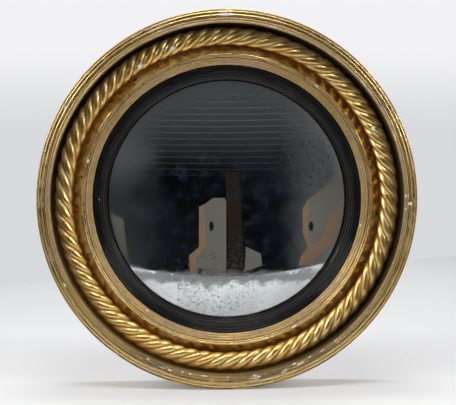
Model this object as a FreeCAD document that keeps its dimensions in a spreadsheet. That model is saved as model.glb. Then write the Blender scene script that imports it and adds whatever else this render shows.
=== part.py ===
import FreeCAD, Part
import math
import os

import Sketcher

# A round giltwood convex mirror, in millimetres. The wall lies in the XZ plane, the mirror
# faces -Y and +Z is up. The origin is the centre of the back, on the mirror's own axis.
# "Depth" below is the distance forward of the wall, so a point at depth d has y = -d.

SIZES = {
    # The plate and its cover
    "glass_diameter": (355.6, "convex plate, a fourteen inch glass"),
    "glass_thickness": (3.0, "plate, measured square to its face"),
    "glass_rise": (30.0, "height of the dome over its edge"),
    "glass_cover": (3.9, "how far the plate runs under the slip"),
    "silver_thickness": (0.3, "amalgam and its varnish"),
    "silver_inset": (1.5, "bare edge of the plate's back"),
    # Widths along the radius, from the sight edge outwards
    "slip_width": (20.6, "ebonised slip, sight edge to gilt moulding"),
    "sight_bevel": (3.6, "plain slope inside the slip's reeds"),
    "moulding_width": (16.0, "reeded inner moulding"),
    "hollow_width": (42.7, "deep hollow that holds the rope"),
    "rim_width": (19.8, "reeded outer rim"),
    "bead_width": (2.6, "small bead outside the rim's reeds"),
    # The three glued layers of felloes, back to front
    "back_depth": (24.0, "back layer"),
    "bed_depth": (30.0, "middle layer"),
    "rim_depth": (21.0, "front layer, to the crest of its reeds"),
    # Section of the front
    "hollow_depth": (39.0, "rim crest to the floor of the hollow"),
    "inner_cove": (2.7, "how much the inner slope of the hollow is dished"),
    "outer_cove": (4.5, "how much the outer slope of the hollow is dished"),
    "cove_top": (2.0, "step from the inner slope to the moulding's edge"),
    "moulding_step": (18.0, "rim crest to the moulding's outer edge"),
    "moulding_slope": (5.0, "fall of the moulding towards the plate"),
    "lip_depth": (5.0, "gilt lip that holds the slip"),
    "slip_step": (2.0, "gilt lip down to the slip's outer edge"),
    "slip_slope": (6.5, "fall of the slip's reeds towards the plate"),
    "sight_fall": (2.2, "fall of the plain slope at the sight edge"),
    "sight_edge": (1.2, "thin upright edge of the slip at the plate"),
    "bead_drop": (2.4, "crest of the reeds down to the bead"),
    "rim_reed": (1.2, "height of a reed of the rim"),
    "moulding_reed": (0.9, "height of a reed of the inner moulding"),
    "slip_reed": (1.2, "height of a reed of the slip"),
    # The rope twist
    "rope_shift": (3.75, "middle of the hollow out to the middle of the rope"),
    "rope_diameter": (26.6, "over the strands"),
    "strand_groove": (3.0, "groove between two strands"),
    "rope_planed": (1.5, "taken off the back of the rope for its seat"),
    "rope_seat": (14.0, "flat floor of the hollow under the rope"),
    "rope_start": (3.0, "clock angle of the first joint, in degrees"),
    # Back and sides
    "bed_inset": (7.0, "narrowing of the side at the back of the middle layer"),
    "land_inset": (13.0, "narrowing of the side at the wall"),
    "land_width": (10.0, "flat ring that lies on the wall"),
    "slip_flange": (5.5, "part of the slip behind the gilt lip"),
    "board_ledge": (14.0, "ledge that the backboard is nailed to"),
    # Packing, blocks and backboard
    "packing_depth": (1.5, "packing ring"),
    "packing_width": (17.0, "packing ring"),
    "packing_inset": (5.0, "inner edge of the packing inside the plate's edge"),
    "block_length": (26.0, "glue block, along the radius"),
    "block_width": (30.0, "glue block, along the rim"),
    "block_gap": (1.0, "backboard to the glue blocks"),
    "board_depth": (10.0, "plank"),
    "board_width": (142.0, "middle plank"),
    "board_gap": (0.6, "shrinkage gap between planks"),
    "nail_diameter": (2.0, "shank"),
    "nail_head": (6.0, "diameter of the head"),
    "nail_head_depth": (1.0, "head"),
    "nail_grip": (11.0, "shank in the middle layer"),
    "nail_inset": (6.5, "board edge to the ring of nails"),
    # Hangers
    "hanger_height": (91.0, "mirror axis up to the pins of the rings"),
    "hanger_inset": (19.0, "inner edge of the ledge to the pins of the rings"),
    "strap_sheet": (1.2, "brass sheet"),
    "strap_width": (14.0, "strap"),
    "strap_length": (34.0, "ring to the lower end of the strap"),
    "strap_end": (4.5, "height of the strap's rounded end"),
    "ring_wire": (2.6, "wire of the ring"),
    "ring_leg": (5.7, "pin down to where the bow starts"),
    "ring_corner": (2.5, "bend between pin and leg"),
    "screw_diameter": (3.0, "shank"),
    "screw_head": (5.5, "diameter of the head"),
    "screw_head_depth": (1.6, "head"),
    "screw_grip": (11.0, "shank in the wood"),
    "screw_first": (8.0, "pin of the ring to the first screw"),
    "screw_spacing": (17.5, "first screw to second screw"),
    # Clearances
    "glass_fit": (0.3, "round the plate and behind it"),
    "slip_fit": (0.3, "round the slip"),
    "block_fit": (0.3, "glue block to the wall of the rebate"),
    "board_fit": (0.5, "round the backboard"),
    "silver_fit": (0.05, "plate to its silvering"),
    "pin_fit": (0.08, "ring wire in the rolled end of the strap"),
    "ring_side_fit": (0.3, "rolled end of the strap to the ring's bend"),
    "wall_fit": (1.84, "wall to the rolled end of the strap"),
    "rest_fit": (0.3, "hanging ring to the strap that it lies on"),
    "drill_fit": (0.1, "nail or screw in its hole"),
}
RIM_REEDS = 4
MOULDING_REEDS = 5
SLIP_REEDS = 5
FELLOES = 4
ROPE_LENGTHS = 5
ROPE_STRANDS = 76
ROPE_LOBES = 4
TWIST_STEP = 24.0
NAILS = 16
GLUE_BLOCKS = 12

# Which way an arc of an outline turns: right, or left with its centre left of the way
ROUND = -1
HOLLOWED = 1

doc = FreeCAD.newDocument("convex_mirror")
sheet = doc.addObject("Spreadsheet::Sheet", "dims")
for row, (alias, (size, note)) in enumerate(SIZES.items(), start=1):
    sheet.set(f"A{row}", alias)
    sheet.set(f"B{row}", str(size))
    sheet.set(f"C{row}", note)
    sheet.setAlias(f"B{row}", alias)
doc.recompute()

# Radii, from the sight edge outwards
GLASS_EDGE = "(dims.glass_diameter / 2)"
SIGHT = f"({GLASS_EDGE} - dims.glass_cover)"
SLIP_EDGE = f"({SIGHT} + dims.slip_width)"
MOULDING_EDGE = f"({SLIP_EDGE} + dims.moulding_width)"
HOLLOW_EDGE = f"({MOULDING_EDGE} + dims.hollow_width)"
RIM_EDGE = f"({HOLLOW_EDGE} + dims.rim_width)"
RIM_SIDE = f"({RIM_EDGE} - dims.bead_width / 2)"
BED_SIDE = f"({RIM_EDGE} - dims.bed_inset)"
LAND_EDGE = f"({RIM_EDGE} - dims.land_inset)"
LAND_INNER = f"({LAND_EDGE} - dims.land_width)"
REBATE = f"({SLIP_EDGE} + dims.slip_flange)"
BACK_BORE = f"({REBATE} + dims.board_ledge)"
BOARD_EDGE = f"({BACK_BORE} - dims.board_fit)"
NAIL_RING = f"({BOARD_EDGE} - dims.nail_inset)"
ROPE_RING = f"({MOULDING_EDGE} + dims.hollow_width / 2 + dims.rope_shift)"
HANGER_SIDE = f"sqrt(({BACK_BORE} + dims.hanger_inset) ^ 2 - dims.hanger_height ^ 2)"
BLOCK_EDGE = f"sqrt(({REBATE} - dims.block_fit) ^ 2 - (dims.block_width / 2) ^ 2)"

# Depths, from the wall forwards
STRAP_LOOP = "(dims.ring_wire / 2 + dims.pin_fit + dims.strap_sheet)"
LEDGE = f"(2 * {STRAP_LOOP} + dims.wall_fit)"
BED_BACK = "dims.back_depth"
BED_FRONT = f"({BED_BACK} + dims.bed_depth)"
CREST = f"({BED_FRONT} + dims.rim_depth)"
FLOOR = f"({CREST} - dims.hollow_depth)"
MOULDING_TOP = f"({CREST} - dims.moulding_step)"
LIP_TOP = f"({MOULDING_TOP} - dims.moulding_slope)"
LIP_BACK = f"({LIP_TOP} - dims.lip_depth)"
SLIP_TOP = f"({LIP_TOP} - dims.slip_step)"
SIGHT_FRONT = f"({SLIP_TOP} - dims.slip_slope - dims.sight_fall)"
SIGHT_BACK = f"({SIGHT_FRONT} - dims.sight_edge)"
BLOCK_BACK = f"({BED_BACK} + dims.block_gap)"
BOARD_BACK = f"({BED_BACK} - dims.board_depth)"

# The dome lies against the sight edge: both faces of the plate are spheres round one centre
DOME = f"(({GLASS_EDGE} ^ 2 + dims.glass_rise ^ 2) / (2 * dims.glass_rise))"
DOME_BACK = f"({DOME} - dims.glass_thickness)"
SILVER_FRONT = f"({DOME_BACK} - dims.silver_fit)"
SILVER_BACK = f"({SILVER_FRONT} - dims.silver_thickness)"
DOME_CENTRE = f"({SIGHT_BACK} - dims.glass_fit - sqrt({DOME} ^ 2 - {SIGHT} ^ 2))"
SLIP_BACK = f"({DOME_CENTRE} + sqrt({DOME_BACK} ^ 2 - {GLASS_EDGE} ^ 2) - dims.glass_fit)"
PACKING_BACK = f"({SLIP_BACK} - dims.packing_depth)"

parts = []


def value(text):
    """The number that an expression over the sheet gives."""
    return float(sheet.evalExpression(text.replace("dims.", "")))


def arc_radius(start, stop, rise):
    """Radius of the arc that joins two corners and stands a given rise over their chord."""
    chord = f"(({start[0]} - {stop[0]}) ^ 2 + ({start[1]} - {stop[1]}) ^ 2)"
    return f"(({chord} / 4 + {rise} ^ 2) / (2 * {rise}))"


def dome_depth(radius, sphere):
    """Depth of a sphere of the dome, at some radius from the mirror's axis."""
    return f"({DOME_CENTRE} + sqrt({sphere} ^ 2 - {radius} ^ 2))"


def turned(clock):
    """Placement that turns a piece centred on +X to a clock angle, clockwise from twelve."""
    return FreeCAD.Placement(FreeCAD.Vector(), FreeCAD.Rotation(FreeCAD.Vector(0, 1, 0), clock - 90))


def new_body(label, many_solids=False):
    body = doc.addObject("PartDesign::Body", label)
    body.Label = label
    body.AllowCompound = many_solids
    parts.append(body)
    return body


def origin_feature(body, role):
    return next(item for item in body.Origin.OriginFeatures if item.Role == role)


def new_sketch(body, role, name, lift=None, spin=0.0):
    """Sketch on one of the body's own planes, lifted by an expression and spun in its plane."""
    sketch = body.newObject("Sketcher::SketchObject", name)
    sketch.AttachmentSupport = [(origin_feature(body, role), "")]
    sketch.MapMode = "FlatFace"
    sketch.AttachmentOffset = FreeCAD.Placement(
        FreeCAD.Vector(), FreeCAD.Rotation(FreeCAD.Vector(0, 0, 1), spin))
    if lift:
        sketch.setExpression("AttachmentOffset.Base.z", lift)
    return sketch


def fix_point(sketch, edge, end, x, y):
    """Tie a point of the sketch to two expressions, or to an axis where one is zero."""
    for kind, text, axis in (("DistanceX", x, -2), ("DistanceY", y, -1)):
        if text == "0":
            sketch.addConstraint(Sketcher.Constraint("PointOnObject", edge, end, axis))
        else:
            index = sketch.addConstraint(Sketcher.Constraint(kind, -1, 1, edge, end, value(text)))
            sketch.setExpression(f"Constraints[{index}]", text)


def fix_radius(sketch, edge, text):
    index = sketch.addConstraint(Sketcher.Constraint("Radius", edge, value(text)))
    sketch.setExpression(f"Constraints[{index}]", text)


def add_arc(sketch, start, stop, text, turn):
    """Arc of under a half circle; its centre lies left of the way for turn 1, right for -1."""
    radius = value(text)
    chord = stop - start
    across = FreeCAD.Vector(-chord.y, chord.x, 0).normalize() * turn
    centre = (start + stop) / 2 + across * math.sqrt(radius ** 2 - chord.Length ** 2 / 4)
    first, last = (start, stop) if turn > 0 else (stop, start)
    angles = [math.atan2(spot.y - centre.y, spot.x - centre.x) for spot in (first, last)]
    circle = Part.Circle(centre, FreeCAD.Vector(0, 0, 1), radius)
    edge = sketch.addGeometry(Part.ArcOfCircle(circle, *angles), False)
    fix_radius(sketch, edge, text)
    return (edge, 1, 2) if turn > 0 else (edge, 2, 1)


def outline(sketch, corners):
    """Closed outline through corners (x, y); (x, y, radius, turn) is reached by an arc."""
    spots = [FreeCAD.Vector(value(corner[0]), value(corner[1]), 0) for corner in corners]
    edges = []
    for here, corner in enumerate(corners):
        start, stop = spots[here - 1], spots[here]
        if len(corner) == 2:
            edges.append((sketch.addGeometry(Part.LineSegment(start, stop), False), 1, 2))
        else:
            edges.append(add_arc(sketch, start, stop, corner[2], corner[3]))
    for here, (edge, _, end) in enumerate(edges):
        following, begin, _ = edges[(here + 1) % len(edges)]
        sketch.addConstraint(Sketcher.Constraint("Coincident", edge, end, following, begin))
        fix_point(sketch, edge, end, corners[here][0], corners[here][1])


def circle(sketch, x, y, radius):
    centre = FreeCAD.Vector(value(x), value(y), 0)
    edge = sketch.addGeometry(Part.Circle(centre, FreeCAD.Vector(0, 0, 1), value(radius)), False)
    fix_point(sketch, edge, 3, x, y)
    fix_radius(sketch, edge, radius)


def turning(body, corners, angle=360.0):
    """Revolve a section about the mirror's axis; its corners are (radius, depth, ...)."""
    sketch = new_sketch(body, "XY_Plane", "section")
    flipped = [(radius, "0" if depth == "0" else f"-({depth})", *arc) for radius, depth, *arc in corners]
    outline(sketch, flipped)
    revolution = body.newObject("PartDesign::Revolution", "turning")
    revolution.Profile = sketch
    revolution.ReferenceAxis = (sketch, ["V_Axis"])
    revolution.Angle = angle
    revolution.Midplane = angle < 360.0


def pad(body, sketch, length, reverse=False, centred=False):
    feature = body.newObject("PartDesign::Pad", "pad")
    feature.Profile = sketch
    feature.setExpression("Length", length)
    feature.Reversed = reverse
    feature.Midplane = centred
    return feature


def pocket(body, sketch, length, reverse=False, centred=False):
    """Pocket that is checked to take wood or metal away."""
    before = body.Shape.Volume
    feature = body.newObject("PartDesign::Pocket", "pocket")
    feature.Profile = sketch
    feature.setExpression("Length", length)
    feature.Reversed = reverse
    feature.Midplane = centred
    doc.recompute()
    if body.Shape.Volume >= before:
        raise RuntimeError(f"{body.Label}: a pocket cuts nothing")
    return feature


def polar_pattern(body, feature, count, angle):
    """Copies of a feature round the mirror's axis."""
    pattern = body.newObject("PartDesign::PolarPattern", "pattern")
    pattern.Originals = [feature]
    pattern.Axis = (origin_feature(body, "Y_Axis"), [""])
    pattern.Angle = angle
    pattern.Occurrences = count
    body.Tip = pattern


def reeds(start, stop, count, rise):
    """Corners of a run of equal reeds between two corners (radius, depth)."""
    width = f"(({start[0]} - {stop[0]}) / {count})"
    fall = f"(({start[1]} - {stop[1]}) / {count})"
    radius = arc_radius((width, fall), ("0", "0"), rise)
    return [(f"({start[0]} - {width} * {step})", f"({start[1]} - {fall} * {step})", radius, ROUND)
            for step in range(1, count + 1)]


def rim_section():
    half = "(dims.bead_width / 2)"
    quirk = f"({CREST} - dims.rim_reed)"
    bead_inner = f"({RIM_EDGE} - dims.bead_width)"
    bead_top = f"({CREST} - dims.bead_drop)"
    return [
        (HOLLOW_EDGE, BED_FRONT),
        (RIM_SIDE, BED_FRONT),
        (RIM_SIDE, f"({bead_top} - dims.bead_width)"),
        (RIM_EDGE, f"({bead_top} - {half})", half, ROUND),
        (RIM_SIDE, bead_top, half, ROUND),
        (bead_inner, f"({bead_top} - {half})", half, ROUND),
        (bead_inner, quirk),
    ] + reeds((bead_inner, quirk), (HOLLOW_EDGE, quirk), RIM_REEDS, "dims.rim_reed")


def bed_section():
    rim_foot = (HOLLOW_EDGE, BED_FRONT)
    seat_outer = (f"({ROPE_RING} + dims.rope_seat / 2)", FLOOR)
    seat_inner = (f"({ROPE_RING} - dims.rope_seat / 2)", FLOOR)
    cove_end = (MOULDING_EDGE, f"({MOULDING_TOP} - dims.cove_top)")
    moulding_outer = (MOULDING_EDGE, MOULDING_TOP)
    return [
        (REBATE, BED_BACK),
        (BED_SIDE, BED_BACK),
        (RIM_SIDE, BED_FRONT),
        rim_foot,
        (*seat_outer, arc_radius(rim_foot, seat_outer, "dims.outer_cove"), HOLLOWED),
        seat_inner,
        (*cove_end, arc_radius(seat_inner, cove_end, "dims.inner_cove"), HOLLOWED),
        moulding_outer,
    ] + reeds(moulding_outer, (SLIP_EDGE, LIP_TOP), MOULDING_REEDS, "dims.moulding_reed") + [
        (SLIP_EDGE, LIP_BACK),
        (REBATE, LIP_BACK),
    ]


def slip_section():
    outer = f"({SLIP_EDGE} - dims.slip_fit)"
    inner = f"({SIGHT} + dims.sight_bevel)"
    flange = f"({REBATE} - dims.slip_fit)"
    glass_wall = f"({GLASS_EDGE} + dims.glass_fit)"
    reeds_end = (inner, f"({SLIP_TOP} - dims.slip_slope)")
    return [
        (glass_wall, SLIP_BACK),
        (flange, SLIP_BACK),
        (flange, LIP_BACK),
        (outer, LIP_BACK),
        (outer, SLIP_TOP),
    ] + reeds((outer, SLIP_TOP), reeds_end, SLIP_REEDS, "dims.slip_reed") + [
        (SIGHT, SIGHT_FRONT),
        (SIGHT, SIGHT_BACK),
        (glass_wall, f"({dome_depth(GLASS_EDGE, DOME)} + dims.glass_fit)"),
    ]


def back_section():
    return [
        (BACK_BORE, LEDGE),
        (LAND_INNER, LEDGE),
        (LAND_INNER, "0"),
        (LAND_EDGE, "0"),
        (BED_SIDE, BED_BACK),
        (BACK_BORE, BED_BACK),
    ]


def make_rim():
    """Front layer: four reeded felloes that meet at 12, 3, 6 and 9 o'clock."""
    for turn, name in enumerate(("rim_top_right", "rim_bottom_right", "rim_bottom_left", "rim_top_left")):
        body = new_body(name)
        turning(body, rim_section(), 360 / FELLOES)
        body.Placement = turned((turn + 0.5) * 360 / FELLOES)


def make_bed():
    """Middle layer: four felloes with the hollow and the inner moulding, joints at 1:30 and so on."""
    step = 360 / NAILS
    for turn, name in enumerate(("bed_top", "bed_right", "bed_bottom", "bed_left")):
        body = new_body(name)
        turning(body, bed_section(), 360 / FELLOES)
        doc.recompute()
        sketch = new_sketch(body, "XZ_Plane", "nail_hole", BED_BACK, 180 / FELLOES - step / 2)
        circle(sketch, NAIL_RING, "0", "(dims.nail_diameter / 2 + dims.drill_fit)")
        hole = pocket(body, sketch, "(dims.nail_grip + dims.drill_fit)", reverse=True)
        polar_pattern(body, hole, NAILS // FELLOES, 360 / FELLOES - step)
        body.Placement = turned(turn * 360 / FELLOES)


def make_back():
    """Back layer: four felloes with the wall land and the sunk ledge that the hangers lie on."""
    for turn, name in enumerate(("back_top_right", "back_bottom_right", "back_bottom_left", "back_top_left")):
        body = new_body(name)
        turning(body, back_section(), 360 / FELLOES)
        clock = (turn + 0.5) * 360 / FELLOES
        if name in ("back_top_right", "back_top_left"):
            doc.recompute()
            side = "" if name == "back_top_right" else "-"
            sketch = new_sketch(body, "XZ_Plane", "screw_holes", LEDGE, clock - 90)
            for row in range(2):
                drop = f"(dims.screw_first + dims.screw_spacing * {row})"
                circle(sketch, f"{side}{HANGER_SIDE}", f"(dims.hanger_height - {drop})",
                       "(dims.screw_diameter / 2 + dims.drill_fit)")
            pocket(body, sketch, "(dims.screw_grip + dims.drill_fit)", reverse=True)
        body.Placement = turned(clock)


def make_slip():
    body = new_body("ebonised_slip")
    turning(body, slip_section())


def dome_section(front, back, edge):
    """Section of a shell of the dome, from the axis to its edge."""
    return [
        ("0", f"({DOME_CENTRE} + {back})"),
        (edge, dome_depth(edge, back), back, HOLLOWED),
        (edge, dome_depth(edge, front)),
        ("0", f"({DOME_CENTRE} + {front})", front, ROUND),
    ]


def make_glass():
    body = new_body("convex_glass")
    turning(body, dome_section(DOME, DOME_BACK, GLASS_EDGE))
    body = new_body("silvering")
    turning(body, dome_section(SILVER_FRONT, SILVER_BACK, f"({GLASS_EDGE} - dims.silver_inset)"))


def make_packing():
    inner = f"({GLASS_EDGE} - dims.packing_inset)"
    outer = f"({inner} + dims.packing_width)"
    body = new_body("packing_ring")
    turning(body, [(inner, PACKING_BACK), (outer, PACKING_BACK), (outer, SLIP_BACK), (inner, SLIP_BACK)])


def make_blocks():
    """Glue blocks that hold the plate and the slip in their rebate."""
    body = new_body("glue_blocks", many_solids=True)
    sketch = new_sketch(body, "XZ_Plane", "block", BLOCK_BACK)
    inner = f"({BLOCK_EDGE} - dims.block_length)"
    low, high = "-dims.block_width / 2", "dims.block_width / 2"
    outline(sketch, [(inner, low), (BLOCK_EDGE, low), (BLOCK_EDGE, high), (inner, high)])
    block = pad(body, sketch, f"({PACKING_BACK} - {BLOCK_BACK})")
    polar_pattern(body, block, GLUE_BLOCKS, 360.0)


def nail_spots():
    """Places of the nails, as (x, z) expressions and the nail's clock angle."""
    angles = [(index + 0.5) * 360 / NAILS for index in range(NAILS)]
    return [(f"({NAIL_RING} * sin({angle} deg))", f"({NAIL_RING} * cos({angle} deg))") for angle in angles]


def make_backboard():
    """Three planks in one disc, nailed to the back of the middle layer."""
    half = "(dims.board_width / 2)"
    seam = f"({half} + dims.board_gap)"
    chord_half = f"sqrt({BOARD_EDGE} ^ 2 - {half} ^ 2)"
    chord_seam = f"sqrt({BOARD_EDGE} ^ 2 - {seam} ^ 2)"
    shapes = {
        "backboard_top": [(chord_seam, seam), ("0", BOARD_EDGE, BOARD_EDGE, HOLLOWED),
                          (f"-{chord_seam}", seam, BOARD_EDGE, HOLLOWED)],
        "backboard_middle": [(chord_half, f"-{half}"), (chord_half, half, BOARD_EDGE, HOLLOWED),
                             (f"-{chord_half}", half), (f"-{chord_half}", f"-{half}", BOARD_EDGE, HOLLOWED)],
        "backboard_bottom": [(f"-{chord_seam}", f"-{seam}"), ("0", f"-{BOARD_EDGE}", BOARD_EDGE, HOLLOWED),
                             (chord_seam, f"-{seam}", BOARD_EDGE, HOLLOWED)],
    }
    reach = value(half)
    for name, corners in shapes.items():
        body = new_body(name)
        sketch = new_sketch(body, "XZ_Plane", "plank", BOARD_BACK)
        outline(sketch, corners)
        for x, z in nail_spots():
            place = "top" if value(z) > reach else "bottom" if value(z) < -reach else "middle"
            if name.endswith(place):
                circle(sketch, x, z, "(dims.nail_diameter / 2 + dims.drill_fit)")
        pad(body, sketch, "dims.board_depth")


def make_nails():
    """Sixteen nails with flat round heads, as one group."""
    body = new_body("backboard_nails", many_solids=True)
    sketch = new_sketch(body, "XY_Plane", "nail")
    shank = f"({NAIL_RING} + dims.nail_diameter / 2)"
    head = f"({NAIL_RING} + dims.nail_head / 2)"
    tip = f"-({BED_BACK} + dims.nail_grip)"
    top = f"-({BOARD_BACK} - dims.nail_head_depth)"
    outline(sketch, [(NAIL_RING, tip), (shank, tip), (shank, f"-{BOARD_BACK}"), (head, f"-{BOARD_BACK}"),
                     (head, top), (NAIL_RING, top)])
    nail = body.newObject("PartDesign::Revolution", "nail_turning")
    nail.Profile = sketch
    nail.ReferenceAxis = (sketch, ["Edge1"])
    nail.Angle = 360
    polar_pattern(body, nail, NAILS, 360.0)
    body.Placement = turned(90 + 180 / NAILS)


def seat_hanger(body, side, drop="0", lift="0"):
    """Put a hanger piece on its ledge: lift is measured from the ledge towards the wall."""
    body.setExpression("Placement.Base.x", f"{side} * {HANGER_SIDE}")
    body.setExpression("Placement.Base.y", f"{lift} - {LEDGE}")
    body.setExpression("Placement.Base.z", f"dims.hanger_height - {drop}")


def make_strap(name, side):
    """Brass strap, folded double round the ring's pin; local y is measured from the ledge."""
    body = new_body(name)
    leaf = new_sketch(body, "XZ_Plane", "leaf")
    half = "(dims.strap_width / 2)"
    shoulder = "-(dims.strap_length - dims.strap_end)"
    end_radius = arc_radius((half, "0"), (f"-{half}", "0"), "dims.strap_end")
    outline(leaf, [(half, "0"), (f"-{half}", "0"), (f"-{half}", shoulder),
                   (half, shoulder, end_radius, HOLLOWED)])
    for row in range(2):
        circle(leaf, "0", f"-(dims.screw_first + dims.screw_spacing * {row})",
               "(dims.screw_diameter / 2 + dims.drill_fit)")
    pad(body, leaf, "2 * dims.strap_sheet", reverse=True)
    roll = new_sketch(body, "YZ_Plane", "roll")
    circle(roll, STRAP_LOOP, "0", STRAP_LOOP)
    pad(body, roll, "dims.strap_width", centred=True)
    doc.recompute()
    bore = new_sketch(body, "YZ_Plane", "bore")
    circle(bore, STRAP_LOOP, "0", "(dims.ring_wire / 2 + dims.pin_fit)")
    pocket(body, bore, "(2 * dims.strap_width)", centred=True)
    seat_hanger(body, side)


def make_ring(name, side):
    """Wire ring whose straight pin turns in the strap; it hangs down onto the strap."""
    body = new_body(name)
    pin = "(dims.strap_width / 2 + dims.ring_side_fit)"
    half = f"({pin} + dims.ring_corner)"
    bow = f"(dims.ring_leg + {half})"
    path = new_sketch(body, "XZ_Plane", "path")
    outline(path, [
        (pin, "0"),
        (half, "-dims.ring_corner", "dims.ring_corner", ROUND),
        (half, "-dims.ring_leg"),
        ("0", f"-{bow}", half, ROUND),
        (f"-{half}", "-dims.ring_leg", half, ROUND),
        (f"-{half}", "-dims.ring_corner"),
        (f"-{pin}", "0", "dims.ring_corner", ROUND),
        ("0", "0"),
    ])
    wire = new_sketch(body, "YZ_Plane", "wire")
    circle(wire, "0", "0", "(dims.ring_wire / 2)")
    pipe = body.newObject("PartDesign::AdditivePipe", "ring")
    pipe.Profile = wire
    pipe.Spine = path
    strap_front = "(2 * dims.strap_sheet)"
    drop = f"({strap_front} + dims.rest_fit + dims.ring_wire / 2 - {STRAP_LOOP})"
    tilt = math.degrees(math.asin(value(drop) / value(bow)))
    body.Placement = FreeCAD.Placement(
        FreeCAD.Vector(), FreeCAD.Rotation(FreeCAD.Vector(1, 0, 0), tilt))
    seat_hanger(body, side, lift=STRAP_LOOP)


def make_screws(name, side):
    """Two round-headed screws, as one group; local y is measured from the ledge."""
    body = new_body(name, many_solids=True)
    sketch = new_sketch(body, "XY_Plane", "screw")
    shank = "(dims.screw_diameter / 2)"
    head = "(dims.screw_head / 2)"
    seat = "(2 * dims.strap_sheet)"
    dome = arc_radius((head, "0"), (f"-{head}", "0"), "dims.screw_head_depth")
    outline(sketch, [
        (shank, seat),
        (head, seat),
        ("0", f"({seat} + dims.screw_head_depth)", dome, HOLLOWED),
        ("0", "-dims.screw_grip"),
        (shank, "-dims.screw_grip"),
    ])
    screw = body.newObject("PartDesign::Revolution", "screw_turning")
    screw.Profile = sketch
    screw.ReferenceAxis = (sketch, ["V_Axis"])
    screw.Angle = 360
    pattern = body.newObject("PartDesign::LinearPattern", "pair")
    pattern.Originals = [screw]
    pattern.Direction = (origin_feature(body, "Z_Axis"), [""])
    pattern.Reversed = True
    pattern.setExpression("Length", "dims.screw_spacing")
    pattern.Occurrences = 2
    body.Tip = pattern
    seat_hanger(body, side, drop="dims.screw_first")


def strand_section(clock, offset):
    """Outline of the rope, cut square at an offset from a length's middle: one arc a strand."""
    crest = value("dims.rope_diameter / 2")
    valley = crest - value("dims.strand_groove")
    half_lobe = math.pi / ROPE_LOBES
    out = FreeCAD.Vector(math.cos(offset), 0, -math.sin(offset))
    front = FreeCAD.Vector(0, -1, 0)
    centre = out * value(ROPE_RING) + front * (value(FLOOR) + crest - value("dims.rope_planed"))
    lay = (math.radians(clock) + offset) * ROPE_STRANDS / ROPE_LOBES

    def spot(radius, angle):
        return centre + front * (radius * math.cos(angle)) + out * (radius * math.sin(angle))

    arcs = []
    for lobe in range(ROPE_LOBES):
        angle = lay + 2 * half_lobe * lobe
        ends = [spot(valley, angle + half_lobe * side) for side in (-1, 1)]
        arcs.append(Part.Arc(ends[0], spot(crest, angle), ends[1]).toShape())
    return Part.Wire(arcs)


def make_rope():
    """Five carved lengths, twisted as one rope, planed flat where they lie in the hollow."""
    span = 2 * math.pi / ROPE_LENGTHS
    steps = math.ceil(math.degrees(span) * ROPE_STRANDS / ROPE_LOBES / TWIST_STEP)
    floor = Part.makeCylinder(value(RIM_EDGE), value(FLOOR), FreeCAD.Vector(), FreeCAD.Vector(0, -1, 0))
    for length in range(ROPE_LENGTHS):
        clock = value("dims.rope_start") + (length + 0.5) * 360 / ROPE_LENGTHS
        sections = [strand_section(clock, (step / steps - 0.5) * span) for step in range(steps + 1)]
        rope = doc.addObject("Part::Feature", f"rope_length_{length + 1}")
        rope.Label = f"rope_length_{length + 1}"
        rope.Shape = Part.makeLoft(sections, True, False, False).cut(floor)
        rope.Placement = turned(clock)
        parts.append(rope)


def check_and_write():
    doc.recompute()
    for item in doc.Objects:
        if "Invalid" in item.State or "Error" in item.State:
            raise RuntimeError(f"{item.Label} failed: {item.State}")
    os.makedirs("parts", exist_ok=True)
    for part in parts:
        shape = part.Shape
        if shape.isNull() or not shape.isValid() or not shape.Solids:
            raise RuntimeError(f"{part.Label} has no valid solid")
        print(f"{part.Label}: {len(shape.Solids)} solid(s), {shape.Volume / 1000:.2f} cm3")
        shape.exportStep(f"parts/{part.Label}.step")


make_rim()
make_bed()
make_back()
make_slip()
make_glass()
make_packing()
make_blocks()
make_backboard()
make_nails()
make_rope()
for hanger, sign in (("left", -1), ("right", 1)):
    make_strap(f"{hanger}_hanger_strap", sign)
    make_ring(f"{hanger}_hanging_ring", sign)
    make_screws(f"{hanger}_hanger_screws", sign)
check_and_write()
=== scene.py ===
import math

import bpy
import numpy as np
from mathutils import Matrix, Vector


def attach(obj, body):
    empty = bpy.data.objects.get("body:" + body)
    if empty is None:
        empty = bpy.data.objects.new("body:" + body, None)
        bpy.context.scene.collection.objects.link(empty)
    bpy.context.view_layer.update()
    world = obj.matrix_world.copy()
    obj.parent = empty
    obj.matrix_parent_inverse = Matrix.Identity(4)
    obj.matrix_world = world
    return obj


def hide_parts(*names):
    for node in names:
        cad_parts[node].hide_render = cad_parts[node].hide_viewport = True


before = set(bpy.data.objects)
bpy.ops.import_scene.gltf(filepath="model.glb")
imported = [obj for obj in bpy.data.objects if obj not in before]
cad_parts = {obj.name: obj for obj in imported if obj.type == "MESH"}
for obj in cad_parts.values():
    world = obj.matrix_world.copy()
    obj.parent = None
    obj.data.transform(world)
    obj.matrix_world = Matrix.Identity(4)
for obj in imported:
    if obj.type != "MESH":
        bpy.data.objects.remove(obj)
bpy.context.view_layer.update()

# Looks of a round giltwood convex mirror. Sections are in millimetres, as (radius, depth) about
# the mirror's axis with the depth measured forward from the wall; clock angles are in degrees,
# clockwise from twelve as seen from the front. Meshes are in metres, in the row frame.

PLATE_EDGE = 177.8
SIGHT = 173.9
SLIP_EDGE = 194.5
REBATE = 200.0
MOULDING_EDGE = 210.5
HOLLOW_EDGE = 253.2
BED_SIDE = 266.0
RIM_SIDE = 271.7
RIM_EDGE = 273.0

BED_BACK = 24.0
SLIP_BACK = 34.98
HOLLOW_FLOOR = 36.0
LIP_BACK = 47.0
SLIP_TOP = 50.0
LIP_TOP = 52.0
BED_FRONT = 54.0
MOULDING_TOP = 57.0
CREST = 75.0

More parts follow.
